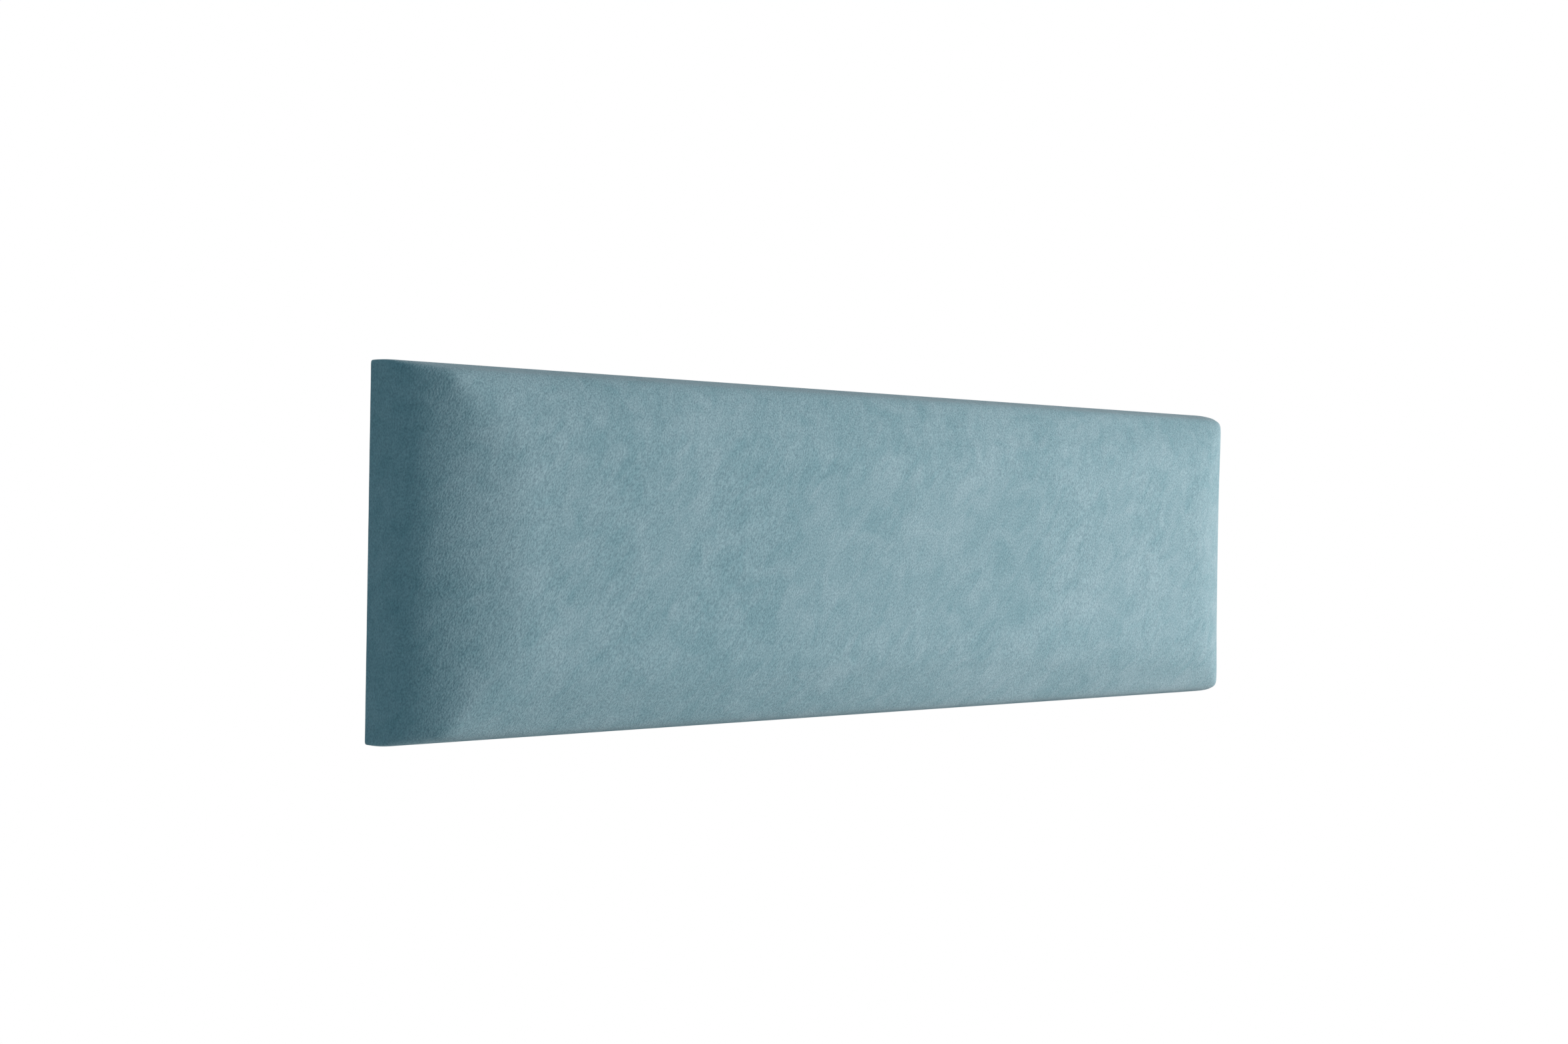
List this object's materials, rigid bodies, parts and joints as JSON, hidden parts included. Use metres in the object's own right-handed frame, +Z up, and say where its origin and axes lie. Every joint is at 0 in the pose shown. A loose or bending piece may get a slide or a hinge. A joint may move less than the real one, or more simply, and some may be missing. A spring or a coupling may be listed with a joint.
{
  "type": "upholstered wall panel",
  "caption": "Long low padded wall panel: velvet drawn over foam on a board, with softly rounded edges, hung by an interlocking rail behind.",
  "frame": {"origin": "midway between the wall rail's two screw holes, on the wall", "axes": "+X along the panel, +Y into the wall (the padded face looks to -Y), +Z up"},
  "size_m": [0.7, 0.0663, 0.2],
  "materials": {
    "velvet": "matte",
    "wadding": "matte",
    "soft_foam": "matte",
    "firm_foam": "matte",
    "plywood": "matte",
    "dust_cloth": "matte",
    "staple_steel": "satin",
    "screw_steel": "satin",
    "rail_aluminium": "satin",
    "liner_felt": "matte",
    "bumper_rubber": "matte"
  },
  "bodies": {
    "wall_mount": {"wall_rail": "rail_aluminium", "rail_liner": "liner_felt"},
    "panel": {"backing_board": "plywood", "firm_foam": "firm_foam", "soft_foam": "soft_foam", "wadding": "wadding", "velvet_cover": "velvet", "cover_staples_top": "staple_steel", "cover_staples_bottom": "staple_steel", "cover_staples_left": "staple_steel", "cover_staples_right": "staple_steel", "dust_cover": "dust_cloth", "dust_cover_staples": "staple_steel", "panel_rail": "rail_aluminium", "panel_rail_screws": "screw_steel", "bumper_left": "bumper_rubber", "bumper_right": "bumper_rubber", "bumper_screws": "screw_steel"}
  },
  "joints": [
    {"name": "panel_lift", "type": "slide", "parent": "wall_mount", "child": "panel", "axis": [0, 0, 1], "range_m": [0, 0.012]}
  ]
}
